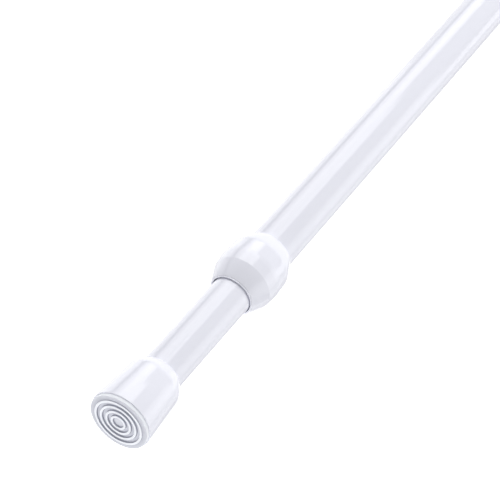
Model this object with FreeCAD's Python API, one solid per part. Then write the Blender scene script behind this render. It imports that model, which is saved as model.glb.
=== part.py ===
"""Spring tension rod for a curtain: two telescoping tubes with rubber-faced end caps.

Lengths are millimetres. X runs along the rod and +Z is up. The origin is the centre of the wall
face on the outer tube's end, and the rod lies from there towards -X.
"""
import FreeCAD, Part
import math
import os

from FreeCAD import Vector

# How far the thin tube shows, and how far the lock can still slide towards the far cap
exposed_tube = 47.5
end_room = 37.7

# Tubes
inner_tube_d = 16.0
inner_tube_wall = 0.5
inner_tube_length = 303.0
outer_tube_d = 18.0
outer_tube_wall = 0.6

# Gaps between pieces: pushed or glued together, turning or sliding, and flat faces that meet a stop
seat_gap = 0.02
run_gap = 0.1
tube_gap = 0.2
stop_gap = 0.1

# Flat that breaks a moulded or turned edge
edge_break = 0.3

# End cap shells
cap_length = 27.0
cap_rim_depth = 1.8
cap_rim_d = 24.8
cap_shoulder_depth = 22.3
cap_shoulder_d = 22.1
cap_shoulder_round = 4.8
cap_mouth_lip = 0.45
cap_floor = 1.6
cap_skin = 1.2
cap_socket_wall = 0.9
cap_pocket_depth = 12.0
cap_rib_width = 1.2
cap_rib_count = 6

# Rubber pads in the caps
pad_d = 23.9
pad_thickness = 3.6
pad_margin_drop = 0.5
pad_margin_cut = 0.6
pad_channel_depth = 0.8
pad_ridge_width = 1.2
pad_ridge_pitch = 2.29
pad_ridge_draft = 0.3
pad_ridge_count = 4
pad_first_ridge_r = 2.69
pad_plug_d = 8.0
pad_barb_d = 9.2
pad_barb_length = 3.0

# Collar on the outer tube's mouth
collar_length = 26.8
collar_mouth_gap = 0.4
collar_lip_d = 17.8
collar_lip_length = 0.5
collar_face_inner_d = 18.3
collar_edge_d = 24.4
collar_edge_depth = 7.7
collar_crown_d = 25.7
collar_crown_depth = 13.0
collar_crown_round = 16.0
collar_shoulder_d = 24.9
collar_shoulder_depth = 20.0
collar_shoulder_round = 5.0
collar_back_lip = 0.7
collar_seat_depth = 3.6

# Liner bush in the outer tube's mouth
bush_flange = 1.2
bush_length = 16.0

# Guide plug in the inner tube's end
plug_body_length = 14.0
plug_flange = 3.0

# Spindle
spindle_d = 6.0
spindle_flat_width = 4.8
spindle_flange_d = 14.0
spindle_flange = 3.0
spindle_tail = 1.5

# Spring and the washers that it bears on
spring_wire_d = 1.2
spring_mean_d = 13.0
spring_turn_count = 7
spring_wire_sides = 8
spring_rest_length = 60.0
seat_washer_d = 15.0
seat_washer = 1.0

# Stop washer, nuts and ring on the spindle
stop_washer_d = 13.0
stop_washer = 1.2
nut_width = 10.0
stop_nut_height = 5.0
jam_nut_height = 3.2
clip_d = 8.8
clip_thickness = 1.0
clip_groove_depth = 0.4
clip_opening_deg = 60.0

# Split sleeve that grips the outer tube
sleeve_length = 30.0
sleeve_base = 3.0
sleeve_bore_d = 11.6
sleeve_taper_start = 12.0
sleeve_mouth_d = 14.8
sleeve_slot_count = 4
sleeve_slot_width = 1.8
sleeve_slot_start = 7.0
grip_groove_count = 5
grip_groove_pitch = 3.0
grip_groove_width = 1.0
grip_groove_depth = 0.3
grip_first_groove = 11.0

# Rubber drag ring round the sleeve
drag_ring_section_d = 1.2
drag_ring_depth = 3.6

# Cone that spreads the sleeve
cone_length = 9.0
cone_travel = 1.5
cone_wall_gap = 0.3
cone_key_gap = 0.25

# Places worked out from the sizes above, from the far wall back along the rod
cap_seat = pad_thickness + cap_floor
outer_tube_end = -cap_seat
spindle_end = outer_tube_end - end_room
jam_nut_start = spindle_end - spindle_tail - jam_nut_height
sleeve_end = jam_nut_start - stop_gap
sleeve_start = sleeve_end - sleeve_length
flange_back = sleeve_start - stop_gap
flange_front = flange_back - spindle_flange
spring_end = flange_front - seat_washer
spring_start = spring_end - spring_rest_length
plug_back = spring_start - seat_washer
inner_tube_end = plug_back - plug_flange
inner_tube_start = inner_tube_end - inner_tube_length
near_face = inner_tube_start - cap_seat
collar_front = near_face + cap_length + exposed_tube
bush_seat = collar_front + collar_seat_depth
outer_tube_start = bush_seat + bush_flange
cone_end = sleeve_end - stop_gap
cone_start = cone_end - cone_length
clip_start = sleeve_start + sleeve_base + stop_gap
plug_front = inner_tube_end - plug_body_length
stop_washer_start = plug_front - stop_gap - stop_washer
stop_nut_start = stop_washer_start - stop_nut_height
spindle_start = stop_nut_start - spindle_tail

# Marks a corner that is cut flat
CUT = "cut"

# Radii worked out from the sizes above
inner_tube_bore_r = inner_tube_d / 2 - inner_tube_wall
outer_tube_bore_r = outer_tube_d / 2 - outer_tube_wall
plug_flange_r = outer_tube_bore_r - tube_gap
sleeve_r = outer_tube_bore_r - tube_gap
clip_groove_r = spindle_d / 2 - clip_groove_depth


def corner_edge(before, corner, after, point):
    """Where a corner's break starts and ends, and its edge: an arc, a flat cut, or none."""
    back = (before - corner).normalize()
    ahead = (after - corner).normalize()
    if len(point) == 2:
        return corner, corner, None
    size = point[2]
    if len(point) == 4:
        start, end = corner + back * size, corner + ahead * size
        return start, end, Part.makeLine(start, end)
    half = back.getAngle(ahead) / 2
    middle = (back + ahead).normalize()
    start = corner + back * (size / math.tan(half))
    end = corner + ahead * (size / math.tan(half))
    top = corner + middle * (size / math.sin(half) - size)
    return start, end, Part.Arc(start, top, end).toShape()


def outline(points):
    """A closed face in the plane through the axis.

    A corner is (x, r), (x, r, radius) where it is rounded, or (x, r, cut, CUT) where it is cut flat.
    """
    corners = [Vector(p[0], 0, p[1]) for p in points]
    count = len(corners)
    breaks = [corner_edge(corners[i - 1], corners[i], corners[(i + 1) % count], points[i])
              for i in range(count)]
    edges = []
    for i in range(count):
        if breaks[i][2] is not None:
            edges.append(breaks[i][2])
        leave, arrive = breaks[i][1], breaks[(i + 1) % count][0]
        if leave.distanceToPoint(arrive) > 1e-6:
            edges.append(Part.makeLine(leave, arrive))
    return Part.Face(Part.Wire(edges))


def turned(points):
    """A solid of revolution about the rod's axis."""
    return outline(points).revolve(Vector(0, 0, 0), Vector(1, 0, 0), 360)


def ring(start, end, inner_r, outer_r):
    """A plain ring or tube between two places along the rod."""
    return turned([(start, inner_r), (start, outer_r), (end, outer_r), (end, inner_r)])


def rod(start, end, radius):
    """A plain round bar between two places along the rod."""
    return Part.makeCylinder(radius, end - start, Vector(start, 0, 0), Vector(1, 0, 0))


def bar(start, end, width, height, low=None):
    """A box along the rod, centred in Y, and in Z unless its low side is given."""
    bottom = -height / 2 if low is None else low
    return Part.makeBox(end - start, width, height, Vector(start, -width / 2, bottom))


def around(shape, count):
    """Equally spaced copies of a shape round the rod's axis."""
    copies = []
    for i in range(count):
        copy = shape.copy()
        copy.rotate(Vector(0, 0, 0), Vector(1, 0, 0), 360.0 * i / count)
        copies.append(copy)
    return copies


def moved(shape, distance):
    """A shape moved along the rod."""
    shape.translate(Vector(distance, 0, 0))
    return shape


def facing_back(shape):
    """A shape turned round, so that what faced the near wall faces the far one."""
    return shape.mirror(Vector(0, 0, 0), Vector(1, 0, 0))


def cap_skin_r(depth):
    """Outer radius of the cap's taper at a depth from the wall."""
    share = (depth - cap_rim_depth) / (cap_shoulder_depth - cap_rim_depth)
    return (cap_rim_d + (cap_shoulder_d - cap_rim_d) * share) / 2


def end_cap(tube_d):
    """Moulded taper shell: pad recess in front, tube socket behind, ribbed pocket between."""
    pad_recess_r = pad_d / 2 + seat_gap
    socket_r = tube_d / 2 + seat_gap
    plug_hole_r = pad_plug_d / 2 + seat_gap
    shell = turned([
        (cap_rim_depth, pad_recess_r),
        (cap_rim_depth, cap_rim_d / 2),
        (cap_shoulder_depth, cap_shoulder_d / 2, cap_shoulder_round),
        (cap_length, socket_r + cap_mouth_lip, edge_break, CUT),
        (cap_length, socket_r),
        (cap_seat, socket_r),
        (cap_seat, plug_hole_r),
        (pad_thickness, plug_hole_r),
        (pad_thickness, pad_recess_r),
    ])
    pocket_r = socket_r + cap_socket_wall
    pocket = turned([
        (pad_thickness - 1, pocket_r),
        (pad_thickness - 1, cap_skin_r(pad_thickness - 1) - cap_skin),
        (cap_pocket_depth, cap_skin_r(cap_pocket_depth) - cap_skin),
        (cap_pocket_depth, pocket_r),
    ])
    rib = bar(pad_thickness - 2, cap_pocket_depth + 1, cap_rib_width, cap_rim_d, 0)
    return shell.cut(pocket.cut(Part.makeCompound(around(rib, cap_rib_count))))


def end_pad():
    """Rubber pad with raised rings, held in the cap by a barbed plug."""
    front = [(pad_channel_depth, 0)]
    for i in range(pad_ridge_count):
        middle = pad_first_ridge_r + i * pad_ridge_pitch
        inner = middle - pad_ridge_width / 2
        outer = middle + pad_ridge_width / 2
        foot = pad_margin_drop if i == pad_ridge_count - 1 else pad_channel_depth
        front += [
            (pad_channel_depth, inner - pad_ridge_draft),
            (0, inner),
            (0, outer),
            (foot, outer + pad_ridge_draft),
        ]
    barb_start = cap_seat + seat_gap
    barb_end = barb_start + pad_barb_length
    return turned(front + [
        (pad_margin_drop, pad_d / 2, pad_margin_cut, CUT),
        (pad_thickness, pad_d / 2),
        (pad_thickness, pad_plug_d / 2),
        (barb_start, pad_plug_d / 2),
        (barb_start, pad_barb_d / 2),
        (barb_end, pad_plug_d / 2 - 1),
        (barb_end, 0),
    ])


def inner_tube():
    bore_r = inner_tube_bore_r
    return ring(inner_tube_start, inner_tube_end, bore_r, inner_tube_d / 2)


def outer_tube():
    return ring(outer_tube_start, outer_tube_end, outer_tube_bore_r, outer_tube_d / 2)


def collar():
    """Barrel with a coned front face and a thin lip round the inner tube."""
    bore_r = inner_tube_d / 2 + collar_mouth_gap
    socket_r = outer_tube_d / 2 + seat_gap
    body = turned([
        (0, bore_r),
        (0, collar_lip_d / 2),
        (collar_lip_length, collar_lip_d / 2),
        (collar_lip_length, collar_face_inner_d / 2),
        (collar_edge_depth, collar_edge_d / 2),
        (collar_crown_depth, collar_crown_d / 2, collar_crown_round),
        (collar_shoulder_depth, collar_shoulder_d / 2, collar_shoulder_round),
        (collar_length, socket_r + collar_back_lip, edge_break, CUT),
        (collar_length, socket_r),
        (collar_seat_depth, socket_r),
        (collar_seat_depth, bore_r),
    ])
    return moved(body, collar_front)


def collar_bush():
    """Nylon liner that keeps the tubes from rattling, with a flange over the outer tube's end."""
    bore_r = inner_tube_d / 2 + run_gap
    sleeve_outer_r = outer_tube_bore_r - seat_gap
    bush_end = outer_tube_start + bush_length
    return turned([
        (bush_seat, bore_r),
        (bush_seat, outer_tube_d / 2),
        (outer_tube_start, outer_tube_d / 2),
        (outer_tube_start, sleeve_outer_r),
        (bush_end, sleeve_outer_r),
        (bush_end, bore_r),
    ])


def flatted_bar(start, end, radius, width):
    """A round bar with two flats."""
    return rod(start, end, radius).common(bar(start, end, width, 4 * radius))


def guide_plug():
    """Plug in the inner tube's end. Its flange runs in the outer tube, its hole turns the spindle."""
    body = turned([
        (plug_front, 0),
        (plug_front, inner_tube_bore_r - seat_gap, edge_break, CUT),
        (inner_tube_end, inner_tube_bore_r - seat_gap),
        (inner_tube_end, plug_flange_r),
        (plug_back, plug_flange_r, edge_break, CUT),
        (plug_back, 0),
    ])
    hole_r = spindle_d / 2 + run_gap
    hole_width = spindle_flat_width + 2 * run_gap
    return body.cut(flatted_bar(plug_front - 1, plug_back + 1, hole_r, hole_width))


def spindle():
    """Steel spindle: flatted shank in the guide plug, flange, journal, and screw for the cone."""
    thread_r = spindle_d / 2
    shank = flatted_bar(stop_washer_start, flange_front, thread_r, spindle_flat_width)
    flange = turned([
        (flange_front, 0),
        (flange_front, spindle_flange_d / 2, edge_break, CUT),
        (flange_back, spindle_flange_d / 2, edge_break, CUT),
        (flange_back, 0),
    ])
    screw = rod(flange_back, spindle_end, thread_r)
    tail = rod(spindle_start, stop_washer_start, thread_r)
    groove = ring(clip_start, clip_start + clip_thickness + 2 * seat_gap, clip_groove_r, spindle_d)
    return tail.fuse([shank, flange, screw]).cut(groove).removeSplitter()


def hex_nut(start, height):
    """Hexagon nut on the spindle's thread."""
    corner_r = nut_width / math.sqrt(3)
    corners = [Vector(start, corner_r * math.cos(math.pi * i / 3), corner_r * math.sin(math.pi * i / 3))
               for i in range(7)]
    prism = Part.Face(Part.makePolygon(corners)).extrude(Vector(height, 0, 0))
    chamfer = 0.15 * corner_r
    rounded = turned([
        (start, 0),
        (start, nut_width / 2),
        (start + chamfer / 2, corner_r),
        (start + height - chamfer / 2, corner_r),
        (start + height, nut_width / 2),
        (start + height, 0),
    ])
    hole = rod(start - 1, start + height + 1, spindle_d / 2 + seat_gap)
    return prism.common(rounded).cut(hole)


def stop_washer_ring():
    end = stop_washer_start + stop_washer
    return ring(stop_washer_start, end, spindle_d / 2 + seat_gap, stop_washer_d / 2)


def seat_ring(start):
    """Washer at one end of the spring."""
    return ring(start, start + seat_washer, spindle_d / 2 + run_gap, seat_washer_d / 2)


def wire_section(mean_r):
    """Section of the spring wire as a polygon of the round wire's area."""
    corner = 2 * math.pi / spring_wire_sides
    reach = spring_wire_d / 2 * math.sqrt(corner / math.sin(corner))
    angles = [corner * (i + 0.5) for i in range(spring_wire_sides + 1)]
    return Part.makePolygon([Vector(mean_r + reach * math.cos(a), 0, reach * math.sin(a)) for a in angles])


def compression_spring():
    """Open turns of wire, ground flat at both ends where they bear on the washers."""
    mean_r = spring_mean_d / 2
    ground = spring_wire_d / 4
    height = spring_rest_length - 2 * ground
    helix = Part.makeHelix(height / spring_turn_count, height, mean_r)
    wire = Part.Wire(helix.Edges).makePipeShell([wire_section(mean_r)], True, True)
    wire.rotate(Vector(0, 0, 0), Vector(0, 1, 0), 90)
    wound = moved(wire, spring_start + ground)
    return wound.common(rod(spring_start, spring_end, spring_mean_d))


def retaining_ring():
    """Open spring ring in the spindle's groove, behind the sleeve's base."""
    start = clip_start + seat_gap
    full = ring(start, start + clip_thickness, clip_groove_r + seat_gap, clip_d / 2)
    half = math.radians(clip_opening_deg / 2)
    reach = clip_d
    wedge = Part.Face(Part.makePolygon([
        Vector(start - 1, 0, 0),
        Vector(start - 1, -reach * math.sin(half), reach * math.cos(half)),
        Vector(start - 1, reach * math.sin(half), reach * math.cos(half)),
        Vector(start - 1, 0, 0),
    ])).extrude(Vector(clip_thickness + 2, 0, 0))
    return full.cut(wedge)


def sleeve_wall_r(depth):
    """Inside radius of the sleeve's taper at a depth from its base."""
    share = (depth - sleeve_taper_start) / (sleeve_length - sleeve_taper_start)
    return (sleeve_bore_d + (sleeve_mouth_d - sleeve_bore_d) * share) / 2


def lock_sleeve():
    """Nylon sleeve with a closed base, four slotted fingers, grip grooves and a ring groove."""
    body = turned([
        (0, spindle_d / 2 + run_gap),
        (0, sleeve_r, edge_break, CUT),
        (sleeve_length, sleeve_r, edge_break, CUT),
        (sleeve_length, sleeve_mouth_d / 2),
        (sleeve_taper_start, sleeve_bore_d / 2),
        (sleeve_base, sleeve_bore_d / 2),
        (sleeve_base, spindle_d / 2 + run_gap),
    ])
    half_slots = bar(sleeve_slot_start, sleeve_length + 1, sleeve_slot_width, 2 * sleeve_r, 0)
    grooves = [
        ring(grip_first_groove + i * grip_groove_pitch,
             grip_first_groove + i * grip_groove_pitch + grip_groove_width,
             sleeve_r - grip_groove_depth, sleeve_r + 1)
        for i in range(grip_groove_count)
    ]
    ring_r = drag_ring_section_d / 2
    groove = ring(drag_ring_depth - ring_r - seat_gap, drag_ring_depth + ring_r + seat_gap,
                  drag_ring_mean_r() - ring_r - seat_gap, sleeve_r + 1)
    cuts = around(half_slots, sleeve_slot_count) + grooves + [groove]
    return moved(body.cut(cuts), sleeve_start)


def drag_ring_mean_r():
    """The drag ring stands just proud of the sleeve and just clear of the tube."""
    return outer_tube_bore_r - run_gap - drag_ring_section_d / 2


def drag_ring():
    """Rubber ring that holds the sleeve still while the spindle turns."""
    half = drag_ring_section_d / 2
    middle, mean_r = sleeve_start + drag_ring_depth, drag_ring_mean_r()
    return turned([
        (middle - half, mean_r - half, edge_break, CUT),
        (middle - half, mean_r + half, edge_break, CUT),
        (middle + half, mean_r + half, edge_break, CUT),
        (middle + half, mean_r - half, edge_break, CUT),
    ])


def expander_cone():
    """Tapered nut on the screw, keyed in the sleeve's slots so that it slides and doesn't turn."""
    slope = (sleeve_mouth_d - sleeve_bore_d) / 2 / (sleeve_length - sleeve_taper_start)
    gap = cone_wall_gap + cone_travel * slope
    front_r = sleeve_wall_r(cone_start - sleeve_start) - gap
    back_r = sleeve_wall_r(cone_end - sleeve_start) - gap
    body = turned([
        (cone_start, 0),
        (cone_start, front_r),
        (cone_end, back_r),
        (cone_end, 0),
    ])
    key_width = sleeve_slot_width - 2 * cone_key_gap
    key_r = sleeve_r - grip_groove_depth
    key = bar(cone_start + 1, cone_end - 1, key_width, key_r, 0)
    hole = rod(cone_start - 1, cone_end + 1, spindle_d / 2 + run_gap)
    keyed = body.fuse(around(key, sleeve_slot_count))
    return keyed.common(rod(cone_start, cone_end, key_r)).cut(hole).removeSplitter()


def build():
    """Every piece of the rod, by name."""
    return {
        "near_cap": moved(end_cap(inner_tube_d), near_face),
        "near_pad": moved(end_pad(), near_face),
        "inner_tube": inner_tube(),
        "guide_plug": guide_plug(),
        "spindle": spindle(),
        "stop_nut": hex_nut(stop_nut_start, stop_nut_height),
        "stop_washer": stop_washer_ring(),
        "spring_washer_inner": seat_ring(plug_back),
        "compression_spring": compression_spring(),
        "spring_washer_outer": seat_ring(spring_end),
        "lock_sleeve": lock_sleeve(),
        "drag_ring": drag_ring(),
        "retaining_ring": retaining_ring(),
        "expander_cone": expander_cone(),
        "jam_nut": hex_nut(jam_nut_start, jam_nut_height),
        "collar": collar(),
        "collar_bush": collar_bush(),
        "outer_tube": outer_tube(),
        "far_cap": facing_back(end_cap(outer_tube_d)),
        "far_pad": facing_back(end_pad()),
    }


os.makedirs("parts", exist_ok=True)
for name, shape in build().items():
    shape.exportStep("parts/" + name + ".step")
    solids = len(shape.Solids)
    print(f"{name:22s} solids {solids}  valid {shape.isValid()}  volume {shape.Volume:10.1f} mm3")
print(f"wall face to wall face {-near_face:.3f} mm")
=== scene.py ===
import bpy
import math
from mathutils import Matrix, Vector


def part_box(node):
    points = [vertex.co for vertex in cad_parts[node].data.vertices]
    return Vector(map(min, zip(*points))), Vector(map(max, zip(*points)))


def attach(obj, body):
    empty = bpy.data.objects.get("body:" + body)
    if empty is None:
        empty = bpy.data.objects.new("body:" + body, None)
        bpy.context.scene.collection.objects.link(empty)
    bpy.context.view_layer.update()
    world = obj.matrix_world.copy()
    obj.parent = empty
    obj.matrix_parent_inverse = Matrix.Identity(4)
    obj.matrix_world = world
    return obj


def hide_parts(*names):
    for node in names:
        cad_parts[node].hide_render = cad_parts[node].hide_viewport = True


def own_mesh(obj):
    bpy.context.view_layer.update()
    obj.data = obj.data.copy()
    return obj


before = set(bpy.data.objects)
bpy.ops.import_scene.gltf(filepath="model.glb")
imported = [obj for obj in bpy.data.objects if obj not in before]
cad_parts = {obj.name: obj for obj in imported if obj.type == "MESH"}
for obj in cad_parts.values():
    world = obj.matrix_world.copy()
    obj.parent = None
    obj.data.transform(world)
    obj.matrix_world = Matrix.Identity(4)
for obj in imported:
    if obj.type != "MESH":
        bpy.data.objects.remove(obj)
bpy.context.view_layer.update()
mm = 0.001

# Inner tube.
# Rolled steel tube, 16 mm across with a half millimetre wall, powder coated in gloss white.
# One end is pushed into the near cap, the other slides out of sight in the outer tube.
round_steps = 144
smooth_angle = math.radians(32)


def deselect_all():
    if bpy.context.mode != "OBJECT":
        bpy.ops.object.mode_set(mode="OBJECT")
    bpy.ops.object.select_all(action="DESELECT")


def select_ring(piece, x, radius):
    """In edit mode, selects the ring of corners at one place along the rod and one radius."""
    bpy.ops.mesh.select_all(action="DESELECT")
    bpy.ops.object.mode_set(mode="OBJECT")
    for corner in piece.data.vertices:
        reach = math.hypot(corner.co.y, corner.co.z)
        corner.select = abs(corner.co.x - x) < 1e-6 and abs(reach - radius) < 1e-6
    bpy.ops.object.mode_set(mode="EDIT")
    bpy.ops.mesh.select_mode(type="VERT")


def carry_ring(x, radius, next_x, next_radius):
    """Extrudes the selected ring to its next place along the rod and its next radius."""
    bpy.ops.mesh.extrude_region_move(TRANSFORM_OT_translate={"value": (next_x - x, 0, 0)})
    scale = next_radius / radius
    bpy.ops.transform.resize(value=(1, scale, scale), center_override=(next_x, 0, 0))


def turn(name, section, steps=round_steps):
    """A piece turned about the rod's axis.

    Section corners are (x, radius) or (x, radius, rounding, cuts). A section that ends where it starts
    is a ring or a tube. Any other is closed on the axis at both ends.
    """
    deselect_all()
    x, radius = section[0][:2]
    bpy.ops.mesh.primitive_circle_add(vertices=steps, radius=radius, location=(x, 0, 0),
                                      rotation=(0, math.pi / 2, 0))
    piece = bpy.context.object
    piece.name = name
    bpy.ops.object.transform_apply(location=True, rotation=True)
    bpy.ops.object.mode_set(mode="EDIT")
    bpy.ops.mesh.select_all(action="SELECT")
    for corner in section[1:]:
        carry_ring(x, radius, *corner[:2])
        x, radius = corner[:2]
    closed = section[0][:2] == section[-1][:2]
    if not closed:
        for end_x, end_radius in (section[0][:2], section[-1][:2]):
            select_ring(piece, end_x, end_radius)
            carry_ring(end_x, end_radius, end_x, 0)
            bpy.ops.mesh.merge(type="CENTER")
    bpy.ops.mesh.select_all(action="SELECT")
    bpy.ops.mesh.remove_doubles(threshold=1e-7)
    bpy.ops.mesh.normals_make_consistent(inside=False)
    corners = section[:-1] if closed else section
    for i, corner in enumerate(corners):
        if len(corner) > 2:
            before = corners[i - 1] if i or closed else (corner[0], 0)
            after = corners[(i + 1) % len(corners)] if closed or i + 1 < len(corners) else (corner[0], 0)
            here = Vector(corner[:2])
            opening = (Vector(before[:2]) - here).angle(Vector(after[:2]) - here)
            select_ring(piece, *corner[:2])
            bpy.ops.mesh.bevel(offset=corner[2] / math.tan(opening / 2), offset_type="OFFSET",
                               segments=corner[3], profile=0.5, affect="EDGES")
    bpy.ops.object.mode_set(mode="OBJECT")
    bpy.ops.object.shade_smooth_by_angle(angle=smooth_angle)
    return piece


def surface_grain():
    """Node group: fine unevenness of a moulded or coated surface, as a tone near 1 and a bump normal."""
    group = bpy.data.node_groups.new("surface grain", "ShaderNodeTree")
    for socket, start in (("Size mm", 1.0), ("Tone", 0.01), ("Relief mm", 0.002)):
        added = group.interface.new_socket(socket, in_out="INPUT", socket_type="NodeSocketFloat")
        added.default_value = start
    group.interface.new_socket("Tone", in_out="OUTPUT", socket_type="NodeSocketFloat")
    group.interface.new_socket("Normal", in_out="OUTPUT", socket_type="NodeSocketVector")
    nodes, links = group.nodes, group.links
    given, out = nodes.new("NodeGroupInput"), nodes.new("NodeGroupOutput")
    place = nodes.new("ShaderNodeTexCoord")
    per_metre = nodes.new("ShaderNodeMath")
    per_metre.operation = "DIVIDE"
    per_metre.inputs[0].default_value = 1 / mm
    links.new(given.outputs["Size mm"], per_metre.inputs[1])
    noise = nodes.new("ShaderNodeTexNoise")
    noise.inputs["Detail"].default_value = 3
    links.new(place.outputs["Object"], noise.inputs["Vector"])
    links.new(per_metre.outputs[0], noise.inputs["Scale"])
    centred = nodes.new("ShaderNodeMath")
    centred.operation = "SUBTRACT"
    centred.inputs[1].default_value = 0.5
    links.new(noise.outputs["Fac"], centred.inputs[0])
    tone = nodes.new("ShaderNodeMath")
    tone.operation = "MULTIPLY_ADD"
    tone.inputs[2].default_value = 1
    links.new(centred.outputs[0], tone.inputs[0])
    links.new(given.outputs["Tone"], tone.inputs[1])
    links.new(tone.outputs[0], out.inputs["Tone"])
    depth = nodes.new("ShaderNodeMath")
    depth.operation = "MULTIPLY"
    depth.inputs[1].default_value = mm
    links.new(given.outputs["Relief mm"], depth.inputs[0])
    bump = nodes.new("ShaderNodeBump")
    bump.inputs["Strength"].default_value = 1
    links.new(depth.outputs[0], bump.inputs["Distance"])
    links.new(noise.outputs["Fac"], bump.inputs["Height"])
    links.new(bump.outputs["Normal"], out.inputs["Normal"])
    return group


grain_group = surface_grain()
default_ior = 1.5


def grained(name, colour, roughness, size_mm, tone, relief_mm,
            metallic=0.0, spread=0.0, ior=default_ior):
    """A material with a fine grain, which varies its colour, roughness and surface a little."""
    material = bpy.data.materials.new(name)
    material.use_nodes = True
    nodes, links = material.node_tree.nodes, material.node_tree.links
    shader = nodes["Principled BSDF"]
    shader.inputs["Metallic"].default_value = metallic
    shader.inputs["IOR"].default_value = ior
    grain = nodes.new("ShaderNodeGroup")
    grain.node_tree = grain_group
    grain.inputs["Size mm"].default_value = size_mm
    grain.inputs["Tone"].default_value = tone
    grain.inputs["Relief mm"].default_value = relief_mm
    paint = nodes.new("ShaderNodeMix")
    paint.data_type = "RGBA"
    paint.blend_type = "MULTIPLY"
    paint.inputs["Factor"].default_value = 1
    paint.inputs["A"].default_value = (*colour, 1)
    links.new(grain.outputs["Tone"], paint.inputs["B"])
    links.new(paint.outputs["Result"], shader.inputs["Base Color"])
    rough = nodes.new("ShaderNodeMapRange")
    rough.inputs["From Min"].default_value = 1 - tone
    rough.inputs["From Max"].default_value = 1 + tone
    rough.inputs["To Min"].default_value = roughness - spread
    rough.inputs["To Max"].default_value = roughness + spread
    links.new(grain.outputs["Tone"], rough.inputs["Value"])
    links.new(rough.outputs["Result"], shader.inputs["Roughness"])
    links.new(grain.outputs["Normal"], shader.inputs["Normal"])
    return material


gloss_white = (0.80, 0.807, 0.885)
gloss_roughness = 0.11
gloss_spread = 0.015
gloss_ior = 1.6
white_paint = grained("white powder coat", gloss_white, gloss_roughness, 1.4, 0.012, 0.0008,
                      spread=gloss_spread, ior=gloss_ior)
tube_edge = 0.12 * mm


def tube(name, node, outside, wall):
    low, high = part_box(node)
    bore = outside / 2 - wall
    piece = turn(name, [
        (low.x, bore),
        (low.x, outside / 2, tube_edge, 2),
        (high.x, outside / 2, tube_edge, 2),
        (high.x, bore),
        (low.x, bore),
    ])
    piece.data.materials.append(white_paint)
    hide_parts(node)
    return piece


inner_tube_across = 16 * mm
inner_skin = tube("thin_tube", "inner_tube", inner_tube_across, 0.5 * mm)
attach(inner_skin, "inner")

# Outer tube.
# The same coated steel, 18 mm across with a 0.6 mm wall. It is fixed in the collar and in the far cap.
outer_tube_across = 18 * mm
outer_skin = tube("thick_tube", "outer_tube", outer_tube_across, 0.6 * mm)
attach(outer_skin, "outer")

# Collar.
# A gloss white moulding glued over the outer tube's mouth: a thin lip round the inner tube, a coned
# front face, a crisp edge, a barrel and a rounded back shoulder.
white_plastic = grained("gloss white moulding", gloss_white, gloss_roughness, 2.2, 0.008, 0.0006,
                        spread=gloss_spread, ior=gloss_ior)
collar_low, collar_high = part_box("collar")
collar_front = collar_low.x
collar_bore = inner_tube_across / 2 + 0.4 * mm
collar_socket = outer_tube_across / 2 + 0.02 * mm
collar_lip_radius = 8.9 * mm
collar_lip_length = 0.5 * mm
collar_seat = 3.6 * mm
face_foot_radius = 9.15 * mm
face_edge_place, face_edge_radius = 7.7 * mm, 12.2 * mm
crown_place, crown_radius = 13 * mm, 12.85 * mm
shoulder_place, shoulder_radius = 20 * mm, 12.45 * mm
collar_end_wall = 0.7 * mm
collar = turn("collar_barrel", [
    (collar_front, collar_bore, 0.12 * mm, 2),
    (collar_front, collar_lip_radius, 0.15 * mm, 3),
    (collar_front + collar_lip_length, collar_lip_radius, 0.08 * mm, 2),
    (collar_front + collar_lip_length, face_foot_radius, 0.1 * mm, 2),
    (collar_front + face_edge_place, face_edge_radius, 0.4 * mm, 4),
    (collar_front + crown_place, crown_radius, 16 * mm, 8),
    (collar_front + shoulder_place, shoulder_radius, 5 * mm, 12),
    (collar_high.x, collar_socket + collar_end_wall, 0.3 * mm, 3),
    (collar_high.x, collar_socket),
    (collar_front + collar_seat, collar_socket),
    (collar_front + collar_seat, collar_bore),
    (collar_front, collar_bore),
])
collar.data.materials.append(white_plastic)
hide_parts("collar")
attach(collar, "outer")

# Collar bush.
# A thin natural nylon liner between the tubes, seated in the collar.
nylon = grained("natural nylon", (0.78, 0.765, 0.70), 0.42, 0.9, 0.03, 0.004, spread=0.05)


def finish_node(node, material):
    """Gives a carried-over piece its material."""
    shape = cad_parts[node]
    shape.data.materials.clear()
    shape.data.materials.append(material)


finish_node("collar_bush", nylon)

# End caps.
# Gloss white taper shells, the near one on the thin tube and the far one on the thick tube. Each holds
# a rubber pad in its front recess, and its tube in a socket behind.
cap_length = 27 * mm
cap_rim_depth = 1.8 * mm
cap_rim_radius = 12.4 * mm
cap_recess_radius = 11.97 * mm
cap_shoulder_depth = 22.3 * mm
cap_shoulder_radius = 11.05 * mm
pad_seat = 3.6 * mm
cap_floor = 1.6 * mm
plug_hole_radius = 4.02 * mm
socket_play = 0.02 * mm
cap_end_wall = 0.45 * mm


def end_cap(name, node, body, wall_face, way, tube_across):
    """A cap whose pad presses the wall at wall_face.

    way is 1 if the rod lies towards +X from there, else -1.
    """
    socket = tube_across / 2 + socket_play
    piece = turn(name, [
        (wall_face + way * pad_seat, plug_hole_radius),
        (wall_face + way * pad_seat, cap_recess_radius),
        (wall_face + way * cap_rim_depth, cap_recess_radius, 0.08 * mm, 2),
        (wall_face + way * cap_rim_depth, cap_rim_radius, 0.2 * mm, 4),
        (wall_face + way * cap_shoulder_depth, cap_shoulder_radius, 4.8 * mm, 12),
        (wall_face + way * cap_length, socket + cap_end_wall, 0.2 * mm, 3),
        (wall_face + way * cap_length, socket),
        (wall_face + way * (pad_seat + cap_floor), socket),
        (wall_face + way * (pad_seat + cap_floor), plug_hole_radius),
        (wall_face + way * pad_seat, plug_hole_radius),
    ])
    piece.data.materials.append(white_plastic)
    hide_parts(node)
    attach(piece, body)
    return piece


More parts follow.
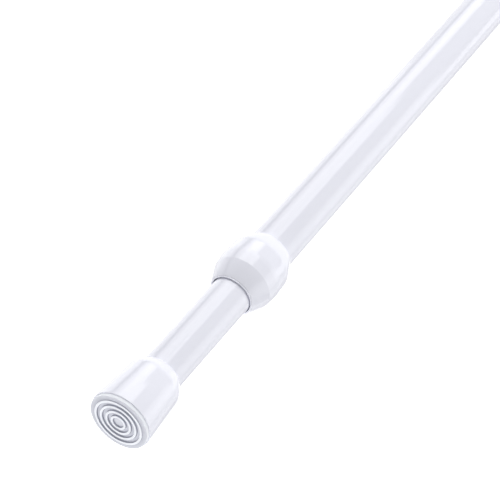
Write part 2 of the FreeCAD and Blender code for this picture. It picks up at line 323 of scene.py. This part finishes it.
near_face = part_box("near_pad")[0].x
far_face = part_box("far_pad")[1].x
near_cap = end_cap("near_cap_shell", "near_cap", "inner", near_face, 1, inner_tube_across)
far_cap = end_cap("far_cap_shell", "far_cap", "outer", far_face, -1, outer_tube_across)

# Rubber pads.
# Light grey moulded rubber, matt, with four raised rings that grip the wall and a lower margin with
# a rounded rim. Painted shade darkens the channels, the sides of the rings, the margin and the rim,
# where shadow falls. A barbed plug holds it.
pad_rubber = grained("light grey rubber", (0.88, 0.90, 0.95), 0.6, 0.35, 0.03, 0.004, spread=0.06)
# Grey that the painted shade multiplies into the rubber's colour in the channels and on the ring sides.
painted_shade_colour = (0.48, 0.48, 0.53)
rubber_nodes, rubber_links = pad_rubber.node_tree.nodes, pad_rubber.node_tree.links
rubber_shader = rubber_nodes["Principled BSDF"]
rubber_shader.inputs["Specular IOR Level"].default_value = 0.3
# Painted shade: the rubber's colour is multiplied towards that grey by each corner's painted shade
# amount.
painted_shade_amount = rubber_nodes.new("ShaderNodeAttribute")
painted_shade_amount.attribute_name = "painted_shade"
painted_shade_mix = rubber_nodes.new("ShaderNodeMix")
painted_shade_mix.data_type = "RGBA"
painted_shade_mix.blend_type = "MULTIPLY"
painted_shade_mix.inputs["B"].default_value = (*painted_shade_colour, 1)
rubber_links.new(painted_shade_amount.outputs["Fac"], painted_shade_mix.inputs["Factor"])
rubber_links.new(rubber_shader.inputs["Base Color"].links[0].from_socket, painted_shade_mix.inputs["A"])
rubber_links.new(painted_shade_mix.outputs["Result"], rubber_shader.inputs["Base Color"])
pad_radius = 11.95 * mm
channel_depth = 0.7 * mm
margin_depth = 0.4 * mm
ring_width = 0.9 * mm
ring_spacing = 2.29 * mm
first_ring_radius = 2.69 * mm
ring_draft = 0.15 * mm
ring_rounding = 0.2 * mm
ring_count = 4
last_ring_radius = first_ring_radius + ring_spacing * (ring_count - 1)
flank_top = 0.03 * mm
flank_foot = 0.15 * mm
# How strong the painted shade is at the centre dish, the channel floors, the last ring's outer side, the
# margin and the rim.
centre_shade = 0.38
floor_shade = 0.56
last_flank_shade = 0.9
margin_shade = 0.78
rim_shade = 0.5
margin_radius = 10.6 * mm
rim_top = 0.05 * mm
reading_error = 0.01 * mm
dish_radius = 1.1 * mm
plug_neck_radius = 4.0 * mm
plug_barb_radius = 4.6 * mm
plug_tip_radius = 3.0 * mm
plug_barb_length = 3 * mm
barb_play = 0.02 * mm


def rubber_pad(name, node, body, wall_face, way):
    """A pad whose ring tops press the wall at wall_face. The attribute says how much painted shade
    darkens its rubber.
    """
    barb = wall_face + way * (pad_seat + cap_floor + barb_play)
    front = [(wall_face + way * channel_depth, dish_radius)]
    for i in range(ring_count):
        middle = first_ring_radius + i * ring_spacing
        inner, outer = middle - ring_width / 2, middle + ring_width / 2
        outer_depth = channel_depth if i < ring_count - 1 else margin_depth
        front += [
            (wall_face + way * channel_depth, inner - ring_draft, 0.1 * mm, 2),
            (wall_face, inner, ring_rounding, 4),
            (wall_face, outer, ring_rounding, 4),
            (wall_face + way * outer_depth, outer + ring_draft, 0.1 * mm, 2),
        ]
    piece = turn(name, front + [
        (wall_face + way * margin_depth, pad_radius, 0.2 * mm, 4),
        (wall_face + way * pad_seat, pad_radius),
        (wall_face + way * pad_seat, plug_neck_radius),
        (barb, plug_neck_radius),
        (barb, plug_barb_radius, 0.2 * mm, 2),
        (barb + way * plug_barb_length, plug_tip_radius, 0.3 * mm, 2),
    ])
    # Painted shade: each corner is darkened where shadow falls. The ring sides get it fully, the channel
    # floors, dish, margin and rim get less, and the ring tops get none.
    painted_shade = piece.data.attributes.new("painted_shade", "FLOAT", "POINT")
    for corner in piece.data.vertices:
        depth = abs(corner.co.x - wall_face)
        reach = math.hypot(corner.co.y, corner.co.z)
        shade = min(1, max(0, (depth - flank_top) / (flank_foot - flank_top)))
        if reach > last_ring_radius:
            shade *= last_flank_shade
            if depth > margin_depth - reading_error:
                shade = margin_shade
            if reach > margin_radius:
                shade = rim_shade if depth < margin_depth + rim_top else 0
        elif depth > channel_depth - reading_error:
            shade = floor_shade if reach > first_ring_radius - ring_width else centre_shade
        painted_shade.data[corner.index].value = shade
    piece.data.materials.append(pad_rubber)
    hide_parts(node)
    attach(piece, body)
    return piece


near_pad = rubber_pad("near_pad_face", "near_pad", "inner", near_face, 1)
far_pad = rubber_pad("far_pad_face", "far_pad", "outer", far_face, -1)

# Guide plug, lock sleeve and cone.
# Natural nylon mouldings inside the tubes. The drag ring round the sleeve is black rubber.
for node in ("guide_plug", "lock_sleeve", "expander_cone"):
    finish_node(node, nylon)
black_rubber = grained("black rubber", (0.03, 0.03, 0.03), 0.6, 0.3, 0.05, 0.005, spread=0.05)
finish_node("drag_ring", black_rubber)

# Spindle.
# Zinc plated steel bar. The guide plug turns it by two flats, the spring pushes on its flange, and a
# rolled thread at each end takes the stop nut, the cone and the jam nut.
zinc = grained("bright zinc", (0.60, 0.61, 0.63), 0.28, 0.5, 0.06, 0.003, metallic=1.0, spread=0.06)
spindle_start, spindle_end = (corner.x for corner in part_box("spindle"))
spindle_radius = 2.98 * mm
shank_half = 2.4 * mm
flange_radius = 7.0 * mm
flange_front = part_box("spring_washer_outer")[1].x
flange_back = flange_front + 3 * mm
shank_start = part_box("stop_washer")[0].x
clip_start, clip_end = (corner.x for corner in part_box("retaining_ring"))
groove_radius = 2.4 * mm
bar_chamfer = 0.5 * mm
thread_pitch = 1.0 * mm
thread_depth = 0.6 * mm
thread_crest = 0.12
thread_root = 0.2
rings_per_pitch = 10
spindle_steps = 48
tail_thread = (spindle_start + bar_chamfer, shank_start - 0.1 * mm)
cone_thread = (clip_end + 1.5 * mm, spindle_end - bar_chamfer)


def thread_rings(start, end):
    count = round((end - start) / thread_pitch * rings_per_pitch)
    return [(start + (end - start) * i / count, spindle_radius) for i in range(count + 1)]


spindle = turn("spindle_bar", [
    (spindle_start, spindle_radius - bar_chamfer),
    *thread_rings(*tail_thread),
    (shank_start, spindle_radius),
    (shank_start + 0.05 * mm, spindle_radius),
    (flange_front - 0.05 * mm, spindle_radius),
    (flange_front, spindle_radius),
    (flange_front, flange_radius, 0.2 * mm, 3),
    (flange_back, flange_radius, 0.2 * mm, 3),
    (flange_back, spindle_radius),
    (clip_start, spindle_radius),
    (clip_start, groove_radius),
    (clip_end, groove_radius),
    (clip_end, spindle_radius),
    *thread_rings(*cone_thread),
    (spindle_end, spindle_radius - bar_chamfer),
], steps=spindle_steps)
for corner in spindle.data.vertices:
    for start, end in (tail_thread, cone_thread):
        if start < corner.co.x < end:
            phase = (corner.co.x / thread_pitch - math.atan2(corner.co.z, corner.co.y) / math.tau) % 1
            down = (abs(phase - 0.5) * -2 + 1 - thread_crest) / (1 - thread_crest - thread_root)
            runout = min(1, (corner.co.x - start) / thread_pitch, (end - corner.co.x) / thread_pitch)
            reach = spindle_radius - thread_depth * min(1, max(0, down)) * runout
            corner.co.y *= reach / spindle_radius
            corner.co.z *= reach / spindle_radius
    if shank_start < corner.co.x < flange_front:
        corner.co.z = max(-shank_half, min(shank_half, corner.co.z))
bpy.ops.object.shade_smooth_by_angle(angle=smooth_angle)
spindle.data.materials.append(zinc)
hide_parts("spindle")
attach(spindle, "spindle")

# Nuts, washers and retaining ring.
# Plain zinc plated steel parts on the spindle. The washers are the spring's two seats.
for node in ("stop_nut", "stop_washer", "spring_washer_inner", "spring_washer_outer",
             "retaining_ring", "jam_nut"):
    finish_node(node, zinc)

# Spring.
# Round spring steel wire, wound open with one closed turn at each end, ground flat there. It shortens
# between its two washers as the inner tube is pushed in.
spring_steel = grained("spring steel", (0.42, 0.42, 0.44), 0.3, 0.2, 0.08, 0.002,
                       metallic=1.0, spread=0.06)
spring_start, spring_end = (corner.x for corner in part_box("compression_spring"))
wire_across = 1.2 * mm
coil_radius = 6.5 * mm
ground_off = 0.3 * mm
coil_turns = 8
steps_per_turn = 48
wire_sides = 14
closed_pitch = 1.24 * mm
closed_turns = 0.8
opening_turns = 0.4
deselect_all()
bpy.ops.mesh.primitive_circle_add(vertices=wire_sides, radius=wire_across / 2,
                                  location=(0, 0, coil_radius), rotation=(math.pi / 2, 0, 0))
spring = bpy.context.object
spring.name = "coil_spring"
bpy.ops.object.transform_apply(location=True, rotation=True)
winding = spring.modifiers.new("winding", "SCREW")
winding.axis = "X"
winding.angle = math.tau * coil_turns
winding.steps = winding.render_steps = steps_per_turn * coil_turns
winding.screw_offset = 0
bpy.ops.object.modifier_apply(modifier=winding.name)
rise_in_all = spring_end - spring_start - wire_across + 2 * ground_off
open_pitch = closed_pitch + (rise_in_all - closed_pitch * coil_turns) / (coil_turns - 2)
rise = [0.0]
for step in range(steps_per_turn * coil_turns):
    from_end = min(step + 0.5, steps_per_turn * coil_turns - step - 0.5) / steps_per_turn
    opened = min(1, max(0, (from_end - closed_turns) / opening_turns))
    opened *= opened * (3 - 2 * opened)
    rise.append(rise[-1] + (closed_pitch + (open_pitch - closed_pitch) * opened) / steps_per_turn)
for corner in spring.data.vertices:
    corner.co.x += spring_start + wire_across / 2 - ground_off + rise[corner.index // wire_sides]
    corner.co.x = min(spring_end, max(spring_start, corner.co.x))
bpy.ops.object.mode_set(mode="EDIT")
bpy.ops.mesh.select_all(action="SELECT")
bpy.ops.mesh.fill_holes(sides=wire_sides)
bpy.ops.mesh.normals_make_consistent(inside=False)
bpy.ops.object.mode_set(mode="OBJECT")
bpy.ops.object.shade_smooth_by_angle(angle=math.radians(50))
spring.data.materials.append(spring_steel)
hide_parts("compression_spring")
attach(spring, "spindle")
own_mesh(spring)

# Floor.
# A plain white floor under the rod, far enough below it that its shadow is soft.
floor_drop = 1.7
floor_own_glow = 0.5
deselect_all()
bpy.ops.mesh.primitive_plane_add(size=60, location=(0, 0, -floor_drop))
floor = bpy.context.object
floor.name = "studio_floor"
bpy.ops.object.transform_apply(location=True)
white_floor = bpy.data.materials.new("white floor")
white_floor.use_nodes = True
floor_nodes, floor_links = white_floor.node_tree.nodes, white_floor.node_tree.links
floor_shader = floor_nodes["Principled BSDF"]
floor_shader.inputs["Base Color"].default_value = (0.8, 0.8, 0.8, 1)
floor_shader.inputs["Roughness"].default_value = 1
floor_shader.inputs["Specular IOR Level"].default_value = 0
floor_path = floor_nodes.new("ShaderNodeLightPath")
floor_seen = floor_nodes.new("ShaderNodeMath")
floor_seen.operation = "MAXIMUM"
floor_links.new(floor_path.outputs["Is Camera Ray"], floor_seen.inputs[0])
floor_links.new(floor_path.outputs["Is Glossy Ray"], floor_seen.inputs[1])
floor_glow = floor_nodes.new("ShaderNodeMath")
floor_glow.operation = "MULTIPLY"
floor_glow.inputs[1].default_value = floor_own_glow
floor_links.new(floor_seen.outputs[0], floor_glow.inputs[0])
floor_shader.inputs["Emission Color"].default_value = (1, 1, 1, 1)
floor_links.new(floor_glow.outputs[0], floor_shader.inputs["Emission Strength"])
floor.data.materials.append(white_floor)

# Studio.
# White surroundings, large soft lamps set along the rod, and dark cards. Their edges make the
# long pale and grey lines that run down the glossy tubes.
world = bpy.data.worlds.new("white studio")
bpy.context.scene.world = world
world.use_nodes = True
sky, sky_links = world.node_tree.nodes, world.node_tree.links
backdrop = sky["Background"]
backdrop.inputs["Color"].default_value = (1, 1, 1, 1)
near_ambient = 0.22
far_ambient = 1.2
sky_direction = sky.new("ShaderNodeTexCoord")
sky_axes = sky.new("ShaderNodeSeparateXYZ")
sky_links.new(sky_direction.outputs["Generated"], sky_axes.inputs["Vector"])
along_rod = sky.new("ShaderNodeMapRange")
along_rod.inputs["From Min"].default_value = -1
along_rod.inputs["To Min"].default_value = near_ambient
along_rod.inputs["To Max"].default_value = far_ambient
sky_links.new(sky_axes.outputs["X"], along_rod.inputs["Value"])
sky_path = sky.new("ShaderNodeLightPath")
sky_seen = sky.new("ShaderNodeMath")
sky_seen.operation = "MAXIMUM"
sky_links.new(sky_path.outputs["Is Camera Ray"], sky_seen.inputs[0])
sky_links.new(sky_path.outputs["Is Glossy Ray"], sky_seen.inputs[1])
sky_strength = sky.new("ShaderNodeMapRange")
sky_strength.inputs["To Max"].default_value = 1
sky_links.new(sky_seen.outputs[0], sky_strength.inputs["Value"])
sky_links.new(along_rod.outputs["Result"], sky_strength.inputs["To Min"])
sky_links.new(sky_strength.outputs["Result"], backdrop.inputs["Strength"])
rod_middle = Vector((-0.30, 0, 0))
lamp_distance = 2.8


def out_from_rod(turn_from_top, lean_along):
    """The direction out from the rod, and how a lamp or card there is turned to face it.

    turn_from_top goes round the rod, towards -Y. lean_along goes from square to the rod towards +X.
    """
    roll, lean = math.radians(turn_from_top), math.radians(lean_along)
    outward = Vector((math.sin(lean), -math.sin(roll) * math.cos(lean), math.cos(roll) * math.cos(lean)))
    round_rod = Vector((0, -math.cos(roll), -math.sin(roll)))
    return outward, Matrix((round_rod, outward.cross(round_rod), outward)).transposed().to_euler()


def panel_size(distance, lean_along, spread_round, spread_along):
    """Width round the rod and length along it of a panel that fills these angles, in degrees."""
    across = 2 * distance * math.tan(math.radians(spread_round / 2)) * math.cos(math.radians(lean_along))
    return across, 2 * distance * math.tan(math.radians(spread_along / 2))


def softbox(name, turn_from_top, lean_along, spread_round, spread_along, glow):
    """A rectangular soft lamp facing the rod."""
    outward, facing = out_from_rod(turn_from_top, lean_along)
    deselect_all()
    bpy.ops.object.light_add(type="AREA", location=rod_middle + outward * lamp_distance)
    lamp = bpy.context.object
    lamp.name = name
    lamp.rotation_euler = facing
    lamp.data.shape = "RECTANGLE"
    lamp.data.size, lamp.data.size_y = panel_size(lamp_distance, lean_along, spread_round, spread_along)
    lamp.data.energy = glow * 4 * lamp.data.size * lamp.data.size_y
    lamp.visible_camera = False


def card(name, turn_from_top, lean_along, spread_round, spread_along, distance, tone):
    """A dark card that only the gloss shows. It takes no light away."""
    outward, facing = out_from_rod(turn_from_top, lean_along)
    deselect_all()
    bpy.ops.mesh.primitive_plane_add(size=1, location=rod_middle + outward * distance, rotation=facing)
    panel = bpy.context.object
    panel.name = name
    panel.scale = (*panel_size(distance, lean_along, spread_round, spread_along), 1)
    bpy.ops.object.transform_apply(location=True, rotation=True, scale=True)
    paper = bpy.data.materials.new(name)
    paper.use_nodes = True
    paper_shader = paper.node_tree.nodes["Principled BSDF"]
    paper_shader.inputs["Base Color"].default_value = (0, 0, 0, 1)
    paper_shader.inputs["Specular IOR Level"].default_value = 0
    paper_shader.inputs["Emission Color"].default_value = (1, 1, 1, 1)
    paper_shader.inputs["Emission Strength"].default_value = tone
    panel.data.materials.append(paper)
    panel.visible_camera = panel.visible_diffuse = panel.visible_shadow = False


card("left card", -59.5, 20, 11, 70, 2.7, 0)
card("low card", 168, 30, 28, 50, 1.5, 0.7)
card("collar card", 136.5, 0, 26, 30, 1.8, 0.55)
softbox("back lamp", -94, 23.5, 39, 37, 0.5)
softbox("left top lamp", -40, 29.5, 13, 41, 0.8)
softbox("top lamp", -26, 29.5, 15, 41, 1.75)
softbox("right top lamp", -10.5, 29.5, 16, 41, 1.6)
softbox("top edge lamp", 7, 22, 19, 26, 1.6)
softbox("upper side lamp", 80.5, 24, 16, 32, 0.8)
softbox("side lamp", 96.5, 24, 16, 32, 1.1)
softbox("low side lamp", 111.5, 24, 14, 32, 0.7)
softbox("far side lamp", 104.5, 50, 28, 20, 1.0)
softbox("near side lamp", 93.5, -10, 40, 30, 0.7)
softbox("pad lamp", 208.5, -76, 100, 38, 3.1)

# Camera.
# The photograph's view: a long lens from above the near end, looking along the rod. The near pad's
# face is centred on its pixel in the photograph, at its distance.
picture = 500
lens_pixels = 2475
pad_pixel = (117.9, 423.1)
pad_distance = 0.868
look_down = math.radians(43.738)
look_aside = math.radians(31.733)
heading = Vector((math.cos(look_aside), math.sin(look_aside), 0))
ahead = heading * math.cos(look_down) - Vector((0, 0, math.sin(look_down)))
right = ahead.cross(Vector((0, 0, 1))).normalized()
above = right.cross(ahead)
offset_right = (pad_pixel[0] - picture / 2) / lens_pixels * pad_distance
offset_up = (picture / 2 - pad_pixel[1]) / lens_pixels * pad_distance
pad_centre = Vector((near_face, 0, 0))
deselect_all()
camera_place = pad_centre - right * offset_right - above * offset_up - ahead * pad_distance
bpy.ops.object.camera_add(location=camera_place)
camera = bpy.context.object
camera.rotation_euler = ahead.to_track_quat("-Z", "Y").to_euler()
camera.data.sensor_width = 36
camera.data.lens = lens_pixels / picture * camera.data.sensor_width
camera.data.clip_start = 0.05
camera.data.clip_end = 100
bpy.context.scene.camera = camera
bpy.context.scene.view_settings.view_transform = "Standard"
